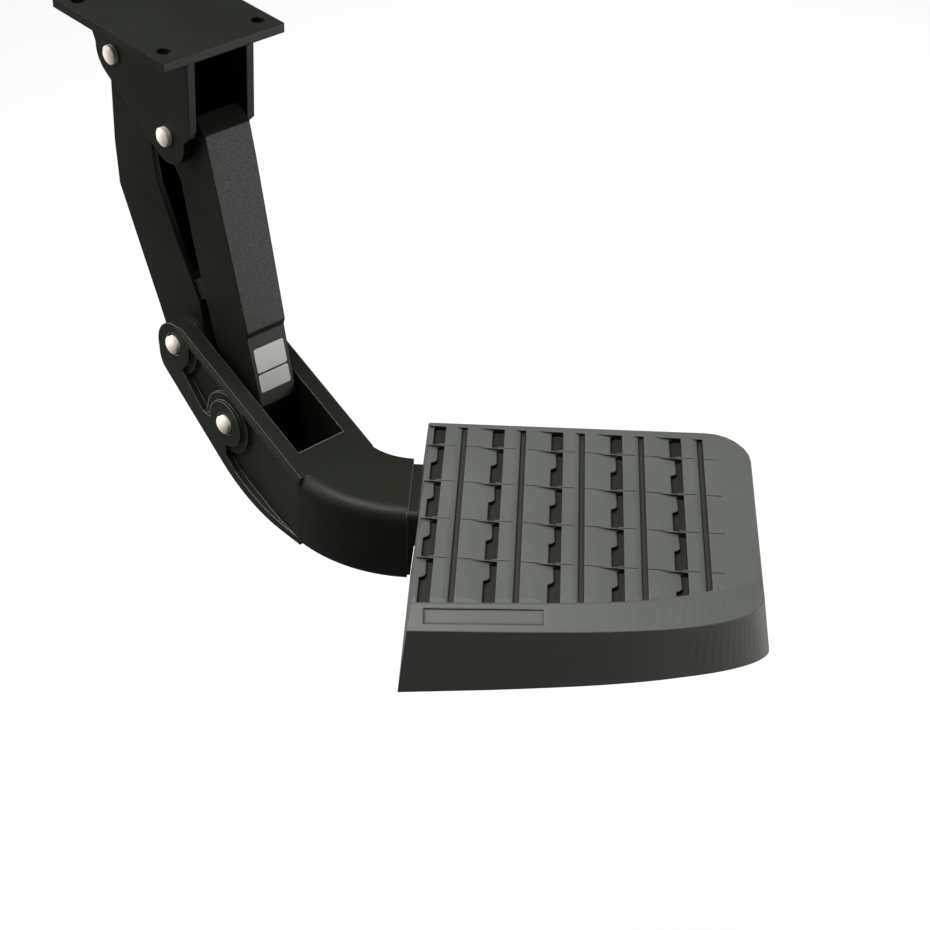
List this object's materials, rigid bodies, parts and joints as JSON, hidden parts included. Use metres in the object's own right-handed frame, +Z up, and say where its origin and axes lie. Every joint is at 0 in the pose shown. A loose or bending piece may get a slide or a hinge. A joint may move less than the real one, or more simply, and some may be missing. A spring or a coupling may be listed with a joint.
{
  "type": "retractable truck bed step",
  "caption": "Swing-down truck bed step: a ribbed step pad on a cast arm, carried level by two parallel arms under a bolt-on bracket.",
  "frame": {"origin": "centre of the four frame bolts, on the top face of the mounting bracket's plate", "axes": "+Z up, the way the frame bolts leave; +X outboard along the swing of the step; +Y along the pivot pins, towards the vehicle side that the pad reaches to"},
  "size_m": [0.6393, 0.3742, 0.3941],
  "materials": {
    "bracket_coat": "black powder coat over folded steel, satin, fine orange peel",
    "arm_coat": "black textured powder coat over cast aluminium, satin",
    "step_arm_coat": "black textured powder coat over cast aluminium, satin",
    "pad_plastic": "moulded black nylon, fine grain, satin",
    "pin_steel": "zinc plated steel, pale and slightly warm",
    "clip_steel": "oiled spring steel",
    "bush_bronze": "sintered bronze",
    "stop_rubber": "moulded rubber, matte",
    "spring_steel": "oil tempered spring wire",
    "bolt_steel": "zinc plated steel, brushed"
  },
  "bodies": {
    "bracket": {"mounting_bracket": "bracket_coat", "upper_rear_pin": "pin_steel", "upper_front_pin": "pin_steel", "upper_pin_clips": "clip_steel", "stow_stop": "stop_rubber", "bracket_spring_post": "pin_steel", "bracket_post_clip": "clip_steel"},
    "rear_arm": {"rear_arm": "arm_coat", "rear_arm_upper_bushes": "bush_bronze", "rear_arm_lower_bushes": "bush_bronze", "deploy_stop": "stop_rubber", "arm_spring_post": "pin_steel", "arm_post_clip": "clip_steel"},
    "front_arm": {"front_arm": "arm_coat", "front_arm_upper_bushes": "bush_bronze", "front_arm_lower_bushes": "bush_bronze"},
    "step": {"step_arm": "step_arm_coat", "step_pad": "pad_plastic", "lower_rear_pin": "pin_steel", "lower_front_pin": "pin_steel", "lower_pin_clips": "clip_steel", "pad_bolts": "bolt_steel", "pad_washers": "bolt_steel"},
    "spring": {"over_centre_spring": "spring_steel"}
  },
  "joints": [
    {"name": "rear_arm_swing", "type": "hinge", "parent": "bracket", "child": "rear_arm", "pos_m": [-0.034, 0, -0.041], "axis": [0, 1, 0], "range_deg": [0, 70], "deforming": ["over_centre_spring"]},
    {"name": "front_arm_swing", "type": "hinge", "parent": "bracket", "child": "front_arm", "pos_m": [0.035, 0, -0.086], "axis": [0, 1, 0], "range_deg": [0, 70]},
    {"name": "step_level", "type": "hinge", "parent": "rear_arm", "child": "step", "pos_m": [0.03909, 0, -0.28008], "axis": [0, 1, 0], "range_deg": [-70, 0]},
    {"name": "spring_turn", "type": "hinge", "parent": "bracket", "child": "spring", "pos_m": [-0.01799, 0, -0.02051], "axis": [0, 1, 0], "range_deg": [0, 49.9]}
  ],
  "couplings": [
    {"joint": "front_arm_swing", "follows": "rear_arm_swing", "ratio": 1},
    {"joint": "step_level", "follows": "rear_arm_swing", "ratio": -1},
    {"joint": "spring_turn", "follows": "rear_arm_swing", "ratio": 0.70999}
  ]
}
